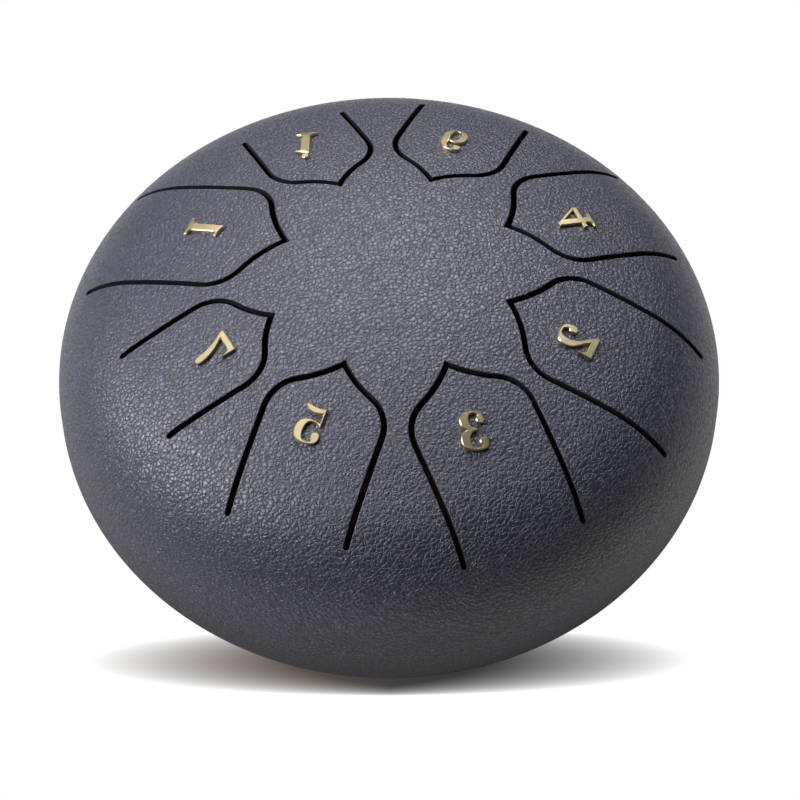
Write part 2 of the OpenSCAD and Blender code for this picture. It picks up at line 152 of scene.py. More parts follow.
class DrumSizes(bpy.types.PropertyGroup):
    """Sizes of the drum, the same as the CAD model's."""

    diameter: length("Diameter", "Outside diameter at the seam", 0.155)
    dome_height: length("Dome height", "From the seam to a dome's pole", 0.0415)
    shoulder_radius: length("Shoulder radius", "Outside radius of the shoulder", 0.03)
    band_height: length("Band height", "Upright band at the seam, each dome", 0.002)
    sheet: length("Sheet", "Thickness of the steel sheet", 0.0015)
    weld_depth: length("Weld depth", "Depth of the weld at the seam", 0.0008)
    ground_clearance: length("Ground clearance", "From the ground to the lower dome", 0.005)
    port_diameter: length("Sound port", "Diameter of the sound port", 0.036)
    first_angle: angle(
        "First tongue", "Angle of the tongue numbered 1, anticlockwise from the right", 160
    )
    tip_circle: length("Tip circle", "Radius that the tongue tips reach", 0.0285)
    root_margin: length(
        "Root margin", "From the longest tongue's root to the drum's outside", 0.0092
    )
    widest_tongue: length("Widest tongue", "Between the middles of its slits", 0.031)
    slit: length("Slit", "Width of the slit round a tongue", 0.0013)
    slit_round: length("Slit edge", "Radius of the slit's coated edge", 0.00022)
    head_corner: length("Head corner", "Radius of a tongue's two head corners", 0.0085)
    tip_edge_angle: angle("Tip edge", "Angle of the tip's edges from straight across", 47)
    corner_edge_angle: angle(
        "Corner edge", "Angle at which the tip's edges run into the corners", 23.5
    )
    number_height: length("Number height", "Height of a number", 0.0092)
    number_relief: length("Number relief", "How far a number stands above the steel", 0.0008)
    number_bevel: length("Number bevel", "Width of the bevel round a number's face", 0.0002)
    number_circle: length(
        "Number circle", "From the drum's axis to the middle of a number", 0.046
    )
    high_dot: length("High dot", "Diameter of the dot over the high 1", 0.0019)
    foot_circle: length(
        "Foot circle", "From the drum's axis to where a foot's own axis meets the dome", 0.04
    )
    foot_top: length("Foot top", "Diameter of a foot on the dome", 0.017)
    foot_bottom: length("Foot bottom", "Diameter of a foot at the floor", 0.014)
    foot_web: length("Foot web", "Rubber between the dome and the washer", 0.004)
    foot_recess: length("Foot recess", "Diameter of the recess for the screw", 0.0096)
    screw: length("Screw", "Diameter of a screw", 0.004)
    screw_length: length("Screw length", "Length of a screw under its head", 0.01)
    screw_head: length("Screw head", "Diameter of a screw's head", 0.0076)
    screw_head_height: length("Screw head height", "Height of a screw's head", 0.0026)
    hole_clearance: length("Hole clearance", "Gap all round a screw in its holes", 0.0002)
    thread_clearance: length("Thread clearance", "Gap between a screw and its nut", 0.00005)
    washer: length("Washer", "Diameter of a washer", 0.009)
    washer_thickness: length("Washer thickness", "Thickness of a washer", 0.0008)
    nut_width: length("Nut width", "Nut across its flats", 0.007)
    nut_height: length("Nut height", "Height of a nut", 0.0032)
    mirrored_numbers: BoolProperty(
        name="Mirrored numbers", description="Numbers turned over, as photographed", default=True
    )


class DrumColours(bpy.types.PropertyGroup):
    """Colours of the drum's finishes, as sRGB hex values."""

    coat: hex_colour("Coat", "Wrinkle enamel on its ridges", "#31344c")
    # Darker than the coat: painted shade in the wrinkles' pits and creases
    coat_pit_shade: hex_colour("Coat pits", "Wrinkle enamel in its pits", "#12131c")
    # Near black: painted shade on the slit walls and inside the drum
    primer: hex_colour("Primer", "Primer on cut edges and inside", "#0d0d0f")
    brass: hex_colour("Brass", "Polished brass of the numbers", "#ead9a8")
    rubber: hex_colour("Rubber", "Moulded rubber of the feet", "#1f1f22")
    zinc: hex_colour("Zinc", "Zinc-plated steel of the fittings", "#b4b7bc")
    floor: hex_colour("Floor", "Studio floor", "#ffffff")


# ---- sizes in millimetres ----

# Steps along a tongue's outline: tip edge, corner, straight side, round end, and the slit's edge
TIP_STEPS, CORNER_STEPS, STRAIGHT_STEPS, CAP_STEPS, ROUND_STEPS = 12, 9, 18, 8, 3
# Distance from a slit's edge to the line inside which the grid leaves its faces alone
GUARD = 0.75
# The grid's spacing, and its shift from the drum's axis in spacings
GRID, GRID_SHIFT = 1.6, 0.3
# The flat plan ends and the turned shoulder begins at this radius. Corners this near it lie on it.
RING_RADIUS, RING_REACH, RING_MERGE = 74.0, 0.02, 0.01
# Steps of the turned shoulder outside and inside, of the lower dome and of its port's lip
SHOULDER_STEPS, INNER_STEPS, LOWER_STEPS, LIP_STEPS = 14, 8, 60, 8
# Faces round a turned piece, and the equal sectors that it is turned in
ROUND_FACES, SMALL_ROUND_FACES, SECTORS = 256, 64, 16
# How close points touch one another or a surface, and how close a turned piece's points merge
GRAIN, LATHE_MERGE = 0.002, 0.001
# A face turned further from the pressed outside than this cosine isn't part of it
FACING = 0.6
# How far in from its root the end of a tongue's middle line is taken
BEND_LENGTH = 5.0
# Steps of a curve in a number's outline, and round the dot
CURVE_STEPS, DOT_STEPS = 8, 24
# Edges sharper than this stay sharp, on large pieces and on small ones
SHARP, FINE_SHARP = math.radians(40), math.radians(25)


class Dome:
    """The pressed section that both domes share, in millimetres above the seam."""

    def __init__(self, sizes):
        self.radius = sizes.diameter / MM / 2
        self.height = sizes.dome_height / MM
        self.shoulder = sizes.shoulder_radius / MM
        self.band = sizes.band_height / MM
        self.sheet = sizes.sheet / MM
        self.weld = sizes.weld_depth / MM
        self.port = sizes.port_diameter / MM / 2
        self.seam = sizes.ground_clearance / MM + self.height
        self.shoulder_centre = self.radius - self.shoulder
        rise = self.height - self.band
        over = 2 * (rise - self.shoulder)
        self.crown = (self.shoulder_centre**2 + rise**2 - self.shoulder**2) / over
        self.crown_centre = self.height - self.crown
        self.touch_share = self.shoulder_centre / (self.crown - self.shoulder)

    def rise(self, r, inset=0.0):
        """Height of the steel's outside above the seam at a radius, or of a face set in from it."""
        if r <= self.touch_share * (self.crown - inset):
            return self.crown_centre + math.sqrt((self.crown - inset) ** 2 - r * r)
        return self.band + math.sqrt((self.shoulder - inset) ** 2 - (r - self.shoulder_centre) ** 2)

    def normal(self, x, y):
        """The outside's normal over a point of the plan."""
        r = math.hypot(x, y)
        if r < 1e-6:
            return Vector((0, 0, 1))
        if r <= self.touch_share * self.crown:
            across = r / self.crown
        else:
            across = min((r - self.shoulder_centre) / self.shoulder, 1)
        return Vector((across * x / r, across * y / r, math.sqrt(1 - across * across)))

    def depth_of(self, point, sign):
        """How deep a point lies under the steel's outside. The sign is 1 for the upper dome and -1
        for the lower."""
        r, above = math.hypot(point.x, point.y), sign * (point.z - self.seam)
        if above <= self.band:
            return self.radius - r
        if r <= self.touch_share * self.crown:
            return self.crown - math.hypot(r, above - self.crown_centre)
        return self.shoulder - math.hypot(r - self.shoulder_centre, above - self.band)

    def arc(self, inset, r_from, r_to, steps):
        """Points (r, height) of the section between two radii, spaced evenly in angle on the
        shoulder and in radius on the crown."""
        touch = self.touch_share * (self.crown - inset)
        span = self.shoulder - inset

        def place(r):
            if r <= touch:
                return r / touch
            start = math.asin((touch - self.shoulder_centre) / span)
            return 1 + (math.asin(min((r - self.shoulder_centre) / span, 1)) - start)

        def radius(t):
            if t <= 1:
                return t * touch
            start = math.asin((touch - self.shoulder_centre) / span)
            return self.shoulder_centre + span * math.sin(start + t - 1)

        a, b = place(r_from), place(r_to)
        radii = [r_from] + [radius(a + (b - a) * i / steps) for i in range(1, steps)] + [r_to]
        return [(r, self.rise(min(r, self.shoulder_centre + span), inset)) for r in radii]


class Tongue:
    """One tongue's outline in its own plan, in millimetres: u runs out from the drum's axis, and v
    across."""

    def __init__(self, sizes, dome, place):
        tip_circle = sizes.tip_circle / MM
        longest = dome.radius - sizes.root_margin / MM - tip_circle * TIP_RADIUS_SHARES[0]
        self.place = place
        self.tip = tip_circle * TIP_RADIUS_SHARES[place]
        self.root = self.tip + longest * LENGTH_SHARES[place]
        self.half_width = sizes.widest_tongue / MM * WIDTH_SHARES[place] / 2
        self.angle = sizes.first_angle + (place + TURN_SHARES[place]) * math.tau / len(NOTES)
        self.corner = sizes.head_corner / MM
        self.slit = sizes.slit / MM
        self.edge_angle = sizes.tip_edge_angle
        self.corner_angle = sizes.corner_edge_angle

    def side(self, growth):
        """One side of the outline from its tip to its root, grown outwards all round."""
        edge_radius = (self.half_width - self.corner * (1 - math.sin(self.corner_angle))) / (
            math.sin(self.edge_angle) - math.sin(self.corner_angle)
        )
        edge_u = self.tip - edge_radius * math.cos(self.edge_angle)
        edge_v = edge_radius * math.sin(self.edge_angle)
        corner_u = edge_u + (edge_radius + self.corner) * math.cos(self.corner_angle)
        corner_v = self.half_width - self.corner
        tip_angle = math.asin(edge_v / (edge_radius - growth))
        points = []
        for i in range(TIP_STEPS + 1):
            a = -tip_angle + (tip_angle - self.corner_angle) * i / TIP_STEPS
            r = edge_radius - growth
            points.append((edge_u + r * math.cos(a), edge_v + r * math.sin(a) if i else 0.0))
        for i in range(1, CORNER_STEPS + 1):
            a = math.pi - self.corner_angle + (self.corner_angle - math.pi / 2) * i / CORNER_STEPS
            r = self.corner + growth
            points.append((corner_u + r * math.cos(a), corner_v + r * math.sin(a)))
        for i in range(1, STRAIGHT_STEPS + 1):
            u = corner_u + (self.root - corner_u) * i / STRAIGHT_STEPS
            points.append((u, self.half_width + growth))
        return points

    def slit_ring(self, spread):
        """The closed line round this tongue's slit at a distance outside the slit's own edges. The
        same step has the same number at every distance."""
        reach = self.slit / 2 + spread
        outside, inside = self.side(reach), self.side(-reach)
        cap = [
            (self.root + reach * math.sin(a), self.half_width + reach * math.cos(a))
            for a in (math.pi * i / CAP_STEPS for i in range(1, CAP_STEPS))
        ]
        half = outside + cap + inside[::-1]
        other = [(u, -v) for u, v in half[::-1]]
        return half + other[1:-1]

    def on_tongue(self, step):
        """Whether a step of the slit's ring lies on the tongue's side of the slit."""
        side = TIP_STEPS + CORNER_STEPS + STRAIGHT_STEPS + 1
        count = 4 * side - 2 + 2 * (CAP_STEPS - 1)
        first = side + CAP_STEPS - 1
        return first <= step <= count - first

    def to_drum(self, u, v):
        c, s = math.cos(self.angle), math.sin(self.angle)
        return Vector((u * c - v * s, u * s + v * c, 0))


# ---- small helpers ----


def linear(hex_value):
    """An sRGB hex colour as the linear RGBA that shaders take."""
    channels = [int(hex_value.lstrip("#")[i : i + 2], 16) / 255 for i in (0, 2, 4)]
    return [c / 12.92 if c <= 0.04045 else ((c + 0.055) / 1.055) ** 2.4 for c in channels] + [1.0]


def add(tree, kind, settings=None, inputs=None):
    """Adds a node with its settings and gives its inputs a constant or a link."""
    node = tree.nodes.new(kind)
    for name, value in (settings or {}).items():
        setattr(node, name, value)
    for name, value in (inputs or {}).items():
        socket = node.inputs[name]
        if isinstance(value, bpy.types.NodeSocket):
            tree.links.new(value, socket)
        else:
            socket.default_value = value
    return node


def new_material(name):
    """A material without nodes, its node tree and the object's own coordinates."""
    material = bpy.data.materials.new(name)
    material.use_nodes = True
    material.node_tree.nodes.clear()
    place = add(material.node_tree, "ShaderNodeTexCoord").outputs["Object"]
    return material, material.node_tree, place


def noise(tree, place, size, detail, roughness=0.5, output="Fac"):
    """Noise with waves of a size in millimetres."""
    inputs = {"Vector": place, "Scale": 1 / (size * MM), "Detail": detail, "Roughness": roughness}
    return add(tree, "ShaderNodeTexNoise", inputs=inputs).outputs[output]


def mapped(tree, value, from_low, from_high, to_low=0, to_high=1, smooth=False):
    """A value mapped from one range to another, and held at its ends."""
    kind = "SMOOTHSTEP" if smooth else "LINEAR"
    inputs = {
        "Value": value, "From Min": from_low, "From Max": from_high, "To Min": to_low,
        "To Max": to_high,
    }
    return add(tree, "ShaderNodeMapRange", {"interpolation_type": kind}, inputs).outputs[0]


def toned(tree, colour, shade):
    """A colour times a shade."""
    inputs = {0: colour, "Scale": shade}
    return add(tree, "ShaderNodeVectorMath", {"operation": "SCALE"}, inputs).outputs[0]


def bumped(tree, height, strength, depth):
    """The normal over a relief whose depth is in millimetres."""
    inputs = {"Strength": strength, "Distance": depth * MM, "Height": height}
    return add(tree, "ShaderNodeBump", inputs=inputs).outputs["Normal"]


def principled(tree, inputs):
    """Ends a material in a principled shader."""
    shader = add(tree, "ShaderNodeBsdfPrincipled", inputs=inputs)
    add(tree, "ShaderNodeOutputMaterial", inputs={"Surface": shader.outputs[0]})


def verts_in(geom):
    return [g for g in geom if isinstance(g, bmesh.types.BMVert)]


def faces_in(geom):
    return [g for g in geom if isinstance(g, bmesh.types.BMFace)]


def once(elements):
    """Each element once, in the order in which they come, so that every run does the same."""
    return list(dict.fromkeys(elements))


def all_of(bm):
    return bm.faces[:] + bm.edges[:] + bm.verts[:]


def fill(bm, edges):
    """Fills closed lines with triangles and gives back the faces."""
    made = bmesh.ops.triangle_fill(bm, use_beauty=True, use_dissolve=False, edges=edges)
    return faces_in(made["geom"])


def extrude(bm, geom):
    """Copies faces with walls between the two, and gives back the copy."""
    return bmesh.ops.extrude_face_region(bm, geom=geom, use_keep_orig=True)["geom"]


def rotate(bm, matrix):
    bmesh.ops.rotate(bm, cent=(0, 0, 0), verts=bm.verts, matrix=matrix)


def shift_up(bm, distance):
    bmesh.ops.translate(bm, vec=(0, 0, distance), verts=bm.verts)


def finish_mesh(bm, name, materials, sharp=SHARP, scale=MM):
    """Turns a bmesh in millimetres into an object in metres, smooth except at sharp edges."""
    bmesh.ops.scale(bm, vec=(scale,) * 3, verts=bm.verts)
    for face in bm.faces:
        face.smooth = True
    for edge in bm.edges:
        edge.smooth = len(edge.link_faces) == 2 and edge.calc_face_angle(0) < sharp
    mesh = bpy.data.meshes.new(name)
    bm.to_mesh(mesh)
    bm.free()
    for material in materials:
        mesh.materials.append(material)
    made = bpy.data.objects.new(name, mesh)
    bpy.context.scene.collection.objects.link(made)
    return made


def set_outside_normals(made, dome, sign):
    """Gives the faces on the pressed outside the section's own normals, so that no facet shows. The
    sign is 1 for the upper dome and -1 for the lower."""
    mesh = made.data
    outside = {}
    for vert in mesh.vertices:
        x, y, z = vert.co / MM
        r, above = math.hypot(x, y), sign * (z - dome.seam)
        on_dome = r < dome.radius - GRAIN and above > dome.band
        if on_dome and abs(above - dome.rise(r)) < GRAIN:
            normal = dome.normal(x, y)
            normal.z *= sign
            outside[vert.index] = normal
    automatic = Vector((0, 0, 0))
    normals = []
    for polygon in mesh.polygons:
        for index in polygon.vertices:
            normal = outside.get(index)
            fits = normal is not None and normal.dot(polygon.normal) > FACING
            normals.append(normal if fits else automatic)
    mesh.normals_split_custom_set(normals)


def paint_sides(bm, dome, sign, depth):
    """Gives the first material to the faces of a pressed skin that reach its outside, and the
    second to those that lie wholly deeper. The second is near black: painted shade on the slit
    walls and inside."""
    for face in bm.faces:
        face.material_index = int(min(dome.depth_of(v.co, sign) for v in face.verts) > depth)


def check_closed(bm, name):
    """Raises an error where a piece isn't closed, so that no open edge goes unseen."""
    bad = [e for e in bm.edges if len(e.link_faces) != 2]
    if bad:
        where = [tuple(round(c, 2) for c in e.verts[0].co) for e in bad[:3]]
        raise RuntimeError(f"{name}: {len(bad)} edges aren't shared by two faces, as at {where}")


# ---- materials ----


def wrinkle_enamel(colours):
    """Baked wrinkle enamel on steel: dark slate with a violet cast and half gloss. It dries in
    small round pebbles with creases between them, which glint like grained leather."""
    material, tree, place = new_material("baked wrinkle enamel")
    # Waves of 2.5 mm bend the pebbles out of true
    bend = noise(tree, place, 2.5, 2, output="Color")
    bent = add(
        tree, "ShaderNodeVectorMath", {"operation": "MULTIPLY_ADD"},
        {0: bend, 1: (1.4 * MM,) * 3, 2: place},
    ).outputs[0]
    # Pebbles about 1 mm across, with thin creases round them
    pebble_scale = 1 / (0.95 * MM)
    pebbles = add(
        tree, "ShaderNodeTexVoronoi", {"feature": "SMOOTH_F1"},
        {"Vector": bent, "Scale": pebble_scale, "Smoothness": 0.15},
    )
    crowned = mapped(tree, pebbles.outputs["Distance"], 0.05, 0.7, 1, 0)
    edges = add(
        tree, "ShaderNodeTexVoronoi", {"feature": "DISTANCE_TO_EDGE"},
        {"Vector": bent, "Scale": pebble_scale},
    )
    crease = mapped(tree, edges.outputs["Distance"], 0, 0.12, smooth=True)
    # Fine wrinkles of 0.4 mm over them
    wrinkles = noise(tree, bent, 0.4, 3, 0.7)
    height = crowned
    for share, relief in ((0.6, wrinkles), (0.3, crease)):
        height = add(
            tree, "ShaderNodeMix", {"data_type": "FLOAT"},
            {"Factor": share, "A": height, "B": relief},
        ).outputs[0]
    # The pits are darker than the ridges, as painted shade in the creases, and rougher. In clouds
    # of 9 mm the spray lay thicker.
    ridge_over_pit_shade = mapped(tree, height, 0.35, 0.75)
    mixed = add(
        tree, "ShaderNodeMix", {"data_type": "RGBA"},
        {"Factor": ridge_over_pit_shade, "A": linear(colours.coat_pit_shade), "B": linear(colours.coat)},
    )
    clouds = mapped(tree, noise(tree, place, 9, 3), 0.3, 0.7, 0.85, 1.12)
    principled(tree, {
        "Base Color": toned(tree, mixed.outputs["Result"], clouds),
        "Roughness": mapped(tree, height, 0.35, 0.75, 0.55, 0.31),
        "IOR": 1.8,
        "Normal": bumped(tree, height, 1.0, 0.32),
    })
    return material


def shade_black_primer(colours):
    """Primer coat on the laser-cut edges and on the inside, near black as painted shade for the
    slits and the inside of the drum; thin and matt with a dry mottle.
    """
    material, tree, place = new_material("black primer")
    # Dry mottle of 0.8 mm
    mottle = noise(tree, place, 0.8, 3)
    shade = mapped(tree, mottle, 0.3, 0.7, 0.6, 1.2)
    principled(tree, {
        "Base Color": toned(tree, linear(colours.primer)[:3], shade),
        "Roughness": 0.8,
        "IOR": 1.45,
        "Normal": bumped(tree, mottle, 0.3, 0.05),
    })
    return material


def polished_brass(colours):
    """Polished brass under clear lacquer: bright, pale gold, with a fine stamped grain that keeps
    it from being a mirror."""
    material, tree, place = new_material("polished brass")
    # Rolling grain of 0.3 mm, and tarnish in clouds of 2 mm
    grain = noise(tree, place, 0.3, 3)
    tarnish = mapped(tree, noise(tree, place, 2, 4), 0.3, 0.7, 0.86, 1)
    principled(tree, {
        "Base Color": toned(tree, linear(colours.brass)[:3], tarnish),
        "Metallic": 1.0,
        "Roughness": mapped(tree, grain, 0, 1, 0.24, 0.4),
        "Normal": bumped(tree, grain, 0.1, 0.02),
    })
    return material


def moulded_rubber(colours):
    """Moulded rubber: near black and matt, with a fine spark-eroded grain and a dusty bloom."""
    material, tree, place = new_material("moulded rubber")
    # Grain of 0.25 mm, and bloom in clouds of 5 mm
    grain = noise(tree, place, 0.25, 2)
    bloom = mapped(tree, noise(tree, place, 5, 4), 0.35, 0.7, 0.9, 1.7)
    principled(tree, {
        "Base Color": toned(tree, linear(colours.rubber)[:3], bloom),
        "Roughness": 0.72,
        "IOR": 1.52,
        "Normal": bumped(tree, grain, 0.3, 0.05),
    })
    return material


def zinc_plate(colours):
    """Zinc-plated steel: bluish grey, half bright, with spangles left by the plating bath."""
    material, tree, place = new_material("zinc-plated steel")
    # Spangles of 1 mm
    spangle = add(tree, "ShaderNodeTexVoronoi", inputs={"Vector": place, "Scale": 1 / (1 * MM)})
    tone = add(tree, "ShaderNodeSeparateColor", inputs={"Color": spangle.outputs["Color"]})
    shade = mapped(tree, tone.outputs[0], 0, 1, 0.8, 1)
    principled(tree, {
        "Base Color": toned(tree, linear(colours.zinc)[:3], shade),
        "Metallic": 1.0,
        "Roughness": mapped(tree, tone.outputs[1], 0, 1, 0.28, 0.42),
    })
    return material


def finish_of(name):
    """The material of a finish, made once."""
    made = bpy.data.materials.get(name)
    if made:
        return made
    colours = bpy.context.scene.drum_colours
    makers = {
        "baked wrinkle enamel": wrinkle_enamel,
        "black primer": shade_black_primer,
        "polished brass": polished_brass,
        "moulded rubber": moulded_rubber,
        "zinc-plated steel": zinc_plate,
    }
    return makers[name](colours)


# ---- upper dome and tongues ----


def draw_slit(bm, tongue, depth, step_layer):
    """Draws the rings round a tongue's slit, from the flat steel down the round of its edge."""
    ring_round = bpy.context.scene.drum_sizes.slit_round / MM
    guard = [tongue.to_drum(u, v) for u, v in tongue.slit_ring(GUARD)]
    verts = [bm.verts.new(co) for co in guard]
    for step, vert in enumerate(verts):
        vert[step_layer] = step
    count = len(verts)
    edges = [bm.edges.new((verts[i], verts[(i + 1) % count])) for i in range(count)]
    steps = [tongue.on_tongue(i) for i in range(count)]
    on_tongue = [e for i, e in enumerate(edges) if steps[i] and steps[(i + 1) % count]]
    on_dome = [e for i, e in enumerate(edges) if not (steps[i] and steps[(i + 1) % count])]
    first = steps.index(True)
    last = count - 1 - steps[::-1].index(True)
    root_line = bm.edges.new((verts[first], verts[last]))
    ring = edges
    bands = []
    for k in range(ROUND_STEPS + 1):
        turn = math.pi / 2 * (1 - k / ROUND_STEPS)
        made = bmesh.ops.extrude_edge_only(bm, edges=ring)["geom"]
        spread = ring_round * (1 - math.cos(turn))
        targets = [tongue.to_drum(u, v) for u, v in tongue.slit_ring(spread)]
        new_verts = verts_in(made)
        for vert in new_verts:
            vert.co = targets[vert[step_layer]]
            vert[depth] = ring_round * (1 - math.sin(turn))
        bands += faces_in(made)
        ring = [
            g for g in made
            if isinstance(g, bmesh.types.BMEdge) and all(v in new_verts for v in g.verts)
        ]
    for face in bands:
        if all(tongue.on_tongue(v[step_layer]) for v in face.verts):
            face.material_index = tongue.place + 1
    return on_tongue, on_dome, root_line


def cut_grid(bm, faces, axis, low, high):
    """Cuts flat faces along evenly spaced lines across an axis, halving the span again and again,
    so that they can follow the dome. Gives back all the faces that it leaves."""
    if high - low < 1 or not faces:
        return faces
    middle = (low + high) // 2
    at = (middle + GRID_SHIFT) * GRID
    edges = once(e for f in faces for e in f.edges)
    verts = once(v for f in faces for v in f.verts)
    made = bmesh.ops.bisect_plane(
        bm, geom=faces + edges + verts, dist=GRAIN, plane_co=axis * at, plane_no=axis
    )["geom"]
    below, above = [], []
    for face in faces_in(made):
        (above if face.calc_center_bounds().dot(axis) > at else below).append(face)
    return cut_grid(bm, below, axis, low, middle) + cut_grid(bm, above, axis, middle + 1, high)


def plan_of_slits(dome, tongues):
    """The upper dome and its tongues as one flat skin with the slits open in it."""
    bm = bmesh.new()
    depth = bm.verts.layers.float.new("depth")
    step_layer = bm.verts.layers.int.new("step")
    drawn = [draw_slit(bm, tongue, depth, step_layer) for tongue in tongues]
    rim = bmesh.ops.create_circle(
        bm, cap_ends=False, radius=RING_RADIUS, segments=ROUND_FACES
    )["verts"]
    rim_edges = once(e for v in rim for e in v.link_edges)
    holes = [e for _, on_dome, root_line in drawn for e in on_dome + [root_line]]
    flat = fill(bm, rim_edges + holes)
    for tongue, (on_tongue, _, root_line) in zip(tongues, drawn):
        for face in fill(bm, on_tongue + [root_line]):
            face.material_index = tongue.place + 1
            flat.append(face)
    lines = int(RING_RADIUS / GRID) + 1
    for axis in (Vector((1, 0, 0)), Vector((0, 1, 0))):
        flat = cut_grid(bm, flat, axis, -lines, lines)
    bmesh.ops.recalc_face_normals(bm, faces=bm.faces)
    if sum(f.normal.z for f in bm.faces) < 0:
        bmesh.ops.reverse_faces(bm, faces=bm.faces)
    return bm, depth


def turn_profile(bm, points, closed, faces=ROUND_FACES):
    """Turns a profile of (r, z) points once round the drum's axis and joins it to a bmesh. One
    sector is spun, and copies of it double the turn until it is whole."""
    lathe = bmesh.new()
    verts = [lathe.verts.new((r, 0, z)) for r, z in points]
    pairs = list(zip(verts, verts[1:])) + ([(verts[-1], verts[0])] if closed else [])
    edges = [lathe.edges.new(pair) for pair in pairs]
    bmesh.ops.spin(
        lathe, geom=verts + edges, cent=(0, 0, 0), axis=(0, 0, 1), angle=math.tau / SECTORS,
        steps=faces // SECTORS, use_merge=False, use_normal_flip=False, use_duplicate=False,
    )
    turned = 1
    while turned < SECTORS:
        whole = lathe.verts[:] + lathe.edges[:] + lathe.faces[:]
        copied = bmesh.ops.duplicate(lathe, geom=whole)["geom"]
        bmesh.ops.rotate(
            lathe, cent=(0, 0, 0), matrix=Matrix.Rotation(math.tau * turned / SECTORS, 3, "Z"),
            verts=verts_in(copied),
        )
        turned *= 2
    bmesh.ops.remove_doubles(lathe, verts=lathe.verts, dist=LATHE_MERGE)
    mesh = bpy.data.meshes.new("lathe")
    lathe.to_mesh(mesh)
    lathe.free()
    bm.from_mesh(mesh)
    bpy.data.meshes.remove(mesh)


def dome_edge(dome, sign):
    """The profile of a dome's edge at the seam, from its outside to its inside, with the chamfer
    for the weld. The sign is 1 for the upper dome and -1 for the lower."""
    inner = dome.radius - dome.sheet
    points = [(dome.radius, dome.weld), (dome.radius - dome.weld, 0), (inner, 0)]
    return [(r, dome.seam + sign * z) for r, z in points]


def upper_skin(dome, tongues):
    """The upper dome and its tongues in their steel's full thickness, as one closed bmesh."""
    bm, depth = plan_of_slits(dome, tongues)
    for vert in bm.verts:
        r = math.hypot(vert.co.x, vert.co.y)
        vert.co.z = dome.seam + dome.rise(r) - vert[depth]
    for vert in verts_in(extrude(bm, all_of(bm))):
        r = math.hypot(vert.co.x, vert.co.y)
        vert.co.z = dome.seam + dome.rise(r, dome.sheet)

    def at_ring(vert):
        return abs(math.hypot(vert.co.x, vert.co.y) - RING_RADIUS) < RING_REACH

    ring_walls = [f for f in bm.faces if all(at_ring(v) for v in f.verts)]
    bmesh.ops.delete(bm, geom=ring_walls, context="FACES")
    inner_end = dome.radius - dome.sheet
    outside = dome.arc(0, RING_RADIUS, dome.radius, SHOULDER_STEPS)
    inside = dome.arc(dome.sheet, inner_end, RING_RADIUS, INNER_STEPS)
    outer, inner = ([(r, dome.seam + z) for r, z in arc] for arc in (outside, inside))
    turn_profile(bm, outer + dome_edge(dome, 1) + inner, closed=False)
    near_ring = [v for v in bm.verts if at_ring(v)]
    bmesh.ops.remove_doubles(bm, verts=near_ring, dist=RING_MERGE)
    return bm


def split_piece(skin, label, name):
    """One piece of the skin as a closed bmesh of its own, its root closed by a face."""
    bm = skin.copy()
    others = [f for f in bm.faces if f.material_index != label]
    bmesh.ops.delete(bm, geom=others, context="FACES")
    open_edges = [e for e in bm.edges if e.is_boundary]
    bmesh.ops.holes_fill(bm, edges=open_edges, sides=0)
    bmesh.ops.recalc_face_normals(bm, faces=bm.faces)
    check_closed(bm, name)
    return bm


class TONGUEDRUM_OT_upper_dome(bpy.types.Operator):
    """Presses the upper dome and slits the eight tongues in it"""

    bl_idname = "tongue_drum.upper_dome"
    bl_label = "Upper dome and tongues"

    def execute(self, context):
        sizes = context.scene.drum_sizes
        dome = Dome(sizes)
        tongues = [Tongue(sizes, dome, place) for place in range(len(NOTES))]
        # The second finish, near black on the slit walls and the inside, is painted shade
        finishes = [finish_of("baked wrinkle enamel"), finish_of("black primer")]
        coated = sizes.slit_round / MM / 2
        skin = upper_skin(dome, tongues)
        bm = split_piece(skin, 0, "dome skin")
        paint_sides(bm, dome, 1, coated)
        top = finish_mesh(bm, "dome_skin", finishes)
        set_outside_normals(top, dome, 1)
        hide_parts("upper_dome")
        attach(top, "drum")
        for tongue in tongues:
            note = NOTES[tongue.place]
            bm = split_piece(skin, tongue.place + 1, note)
            paint_sides(bm, dome, 1, coated)
            piece = finish_mesh(bm, f"tongue_skin_{note}", finishes)
            set_outside_normals(piece, dome, 1)
            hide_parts(f"tongue_{note}")
            height = dome.seam + dome.rise(tongue.root, dome.sheet / 2)
            start = tongue.to_drum(tongue.root, 0) + Vector((0, 0, height))
            end = tongue.to_drum(tongue.root - BEND_LENGTH, 0) + Vector((0, 0, height))
            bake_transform(piece)
        skin.free()
        return {"FINISHED"}


# ---- numbers ----


def outline_points(shares, height):
    """An outline from its table, in millimetres, with its curves drawn out."""
    points = []
    for i, share in enumerate(shares):
        if len(share) == 2:
            points.append(Vector(share) * height)
            continue
        before, towards = Vector(shares[i - 1][:2]), Vector(share[:2])
        after = Vector(shares[(i + 1) % len(shares)][:2])
        for k in range(1, CURVE_STEPS):
            t = k / CURVE_STEPS
            curved = before * (1 - t) ** 2 + towards * 2 * t * (1 - t) + after * t * t
            points.append(curved * height)
    return points


def stamp(bm, loops, relief, bevel):
    """Raises a flat outline, given as closed loops, to its relief with a bevel round its face."""
    edges = []
    for points in loops:
        verts = [bm.verts.new((p.x, p.y, 0)) for p in points]
        edges += [bm.edges.new((verts[i - 1], verts[i])) for i in range(len(verts))]
    raised = extrude(bm, fill(bm, edges))
    top_faces = faces_in(raised)
    bmesh.ops.translate(bm, vec=(0, 0, relief - bevel), verts=verts_in(raised))
    bmesh.ops.recalc_face_normals(bm, faces=bm.faces)
    bmesh.ops.inset_region(
        bm, faces=top_faces, thickness=bevel, depth=0, use_even_offset=True, use_boundary=True
    )
    face_verts = once(v for f in top_faces for v in f.verts)
    bmesh.ops.translate(bm, vec=(0, 0, bevel), verts=face_verts)


